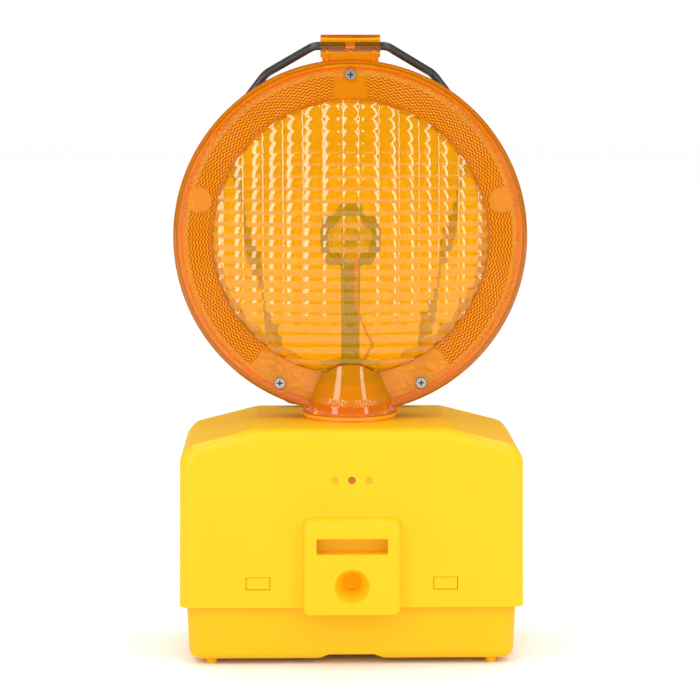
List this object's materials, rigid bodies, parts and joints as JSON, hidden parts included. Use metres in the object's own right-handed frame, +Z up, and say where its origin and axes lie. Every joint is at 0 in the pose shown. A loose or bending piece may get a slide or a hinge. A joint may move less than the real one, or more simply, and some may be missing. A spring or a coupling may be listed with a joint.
{
  "type": "barricade warning light",
  "caption": "Portable amber road warning light: round two-faced lens head with rod bail on a battery case with lift-off hood and tray.",
  "frame": {"origin": "on the ground under the middle of the battery case", "axes": "+Z up, the first lens face looks along -Y, +X to the right seen from the front"},
  "size_m": [0.19, 0.114, 0.3347],
  "materials": {
    "tray_yellow": "satin moulded",
    "hood_yellow": "satin moulded",
    "clear_plastic": "clear",
    "amber_lens": "clear amber",
    "black_rubber": "matt",
    "amber_silicone": "translucent",
    "post_plastic": "matt",
    "zinc_steel": "zinc plated",
    "brass": "bright",
    "black_plastic": "matt",
    "turret_plastic": "satin",
    "board_green": "lacquered",
    "board_white": "white lacquer",
    "led_plastic": "clear",
    "sensor": "clear",
    "red_wire": "PVC",
    "black_wire": "PVC",
    "rod_black": "black coated steel",
    "slider_white": "matt",
    "battery_jacket": "printed jacket"
  },
  "bodies": {
    "tray": {"tray": "tray_yellow", "case_gasket": "black_rubber", "battery_left": "battery_jacket", "battery_right": "battery_jacket", "battery_left_springs": "zinc_steel", "battery_right_springs": "zinc_steel"},
    "hood": {"hood": "hood_yellow", "window_plugs": "hood_yellow", "light_windows": "clear_plastic", "bolt_sleeve": "hood_yellow", "contact_plate": "black_plastic", "contact_strips": "brass", "plate_screws": "zinc_steel", "turret": "turret_plastic", "turret_seal": "black_rubber", "turret_nut": "black_plastic", "plug_socket": "black_plastic", "control_board": "board_green", "board_screws": "zinc_steel", "flasher_chip": "black_plastic", "capacitor": "black_plastic", "transistor": "black_plastic", "light_sensor": "sensor", "indicator_leds": "led_plastic", "switch_body": "black_plastic", "supply_wire_red": "red_wire", "supply_wire_black": "black_wire", "lamp_lead_red": "red_wire", "lamp_lead_black": "black_wire"},
    "head": {"lens_front": "amber_lens", "lens_rear": "amber_lens", "lens_seal": "amber_silicone", "lens_screws": "zinc_steel", "screw_inserts": "brass", "led_post": "post_plastic", "led_board": "board_white", "led_front": "led_plastic", "led_rear": "led_plastic", "led_screws": "zinc_steel", "wire_red": "red_wire", "wire_black": "black_wire", "wire_plug": "black_plastic"},
    "bail": {"handle": "rod_black"},
    "slider": {"switch_slider": "slider_white"}
  },
  "joints": [
    {"name": "hood_lift", "type": "slide", "parent": "tray", "child": "hood", "axis": [0, 0, 1], "range_m": [0, 0.12]},
    {"name": "head_turn", "type": "hinge", "parent": "hood", "child": "head", "pos_m": [0, 0, 0.14], "axis": [0, 0, 1], "range_deg": [-90, 90]},
    {"name": "handle_swing", "type": "hinge", "parent": "head", "child": "bail", "pos_m": [0, -0.0068, 0.3286], "axis": [1, 0, 0], "range_deg": [0, 180]},
    {"name": "switch_slide", "type": "slide", "parent": "hood", "child": "slider", "axis": [1, 0, 0], "range_m": [0, 0.005]}
  ]
}
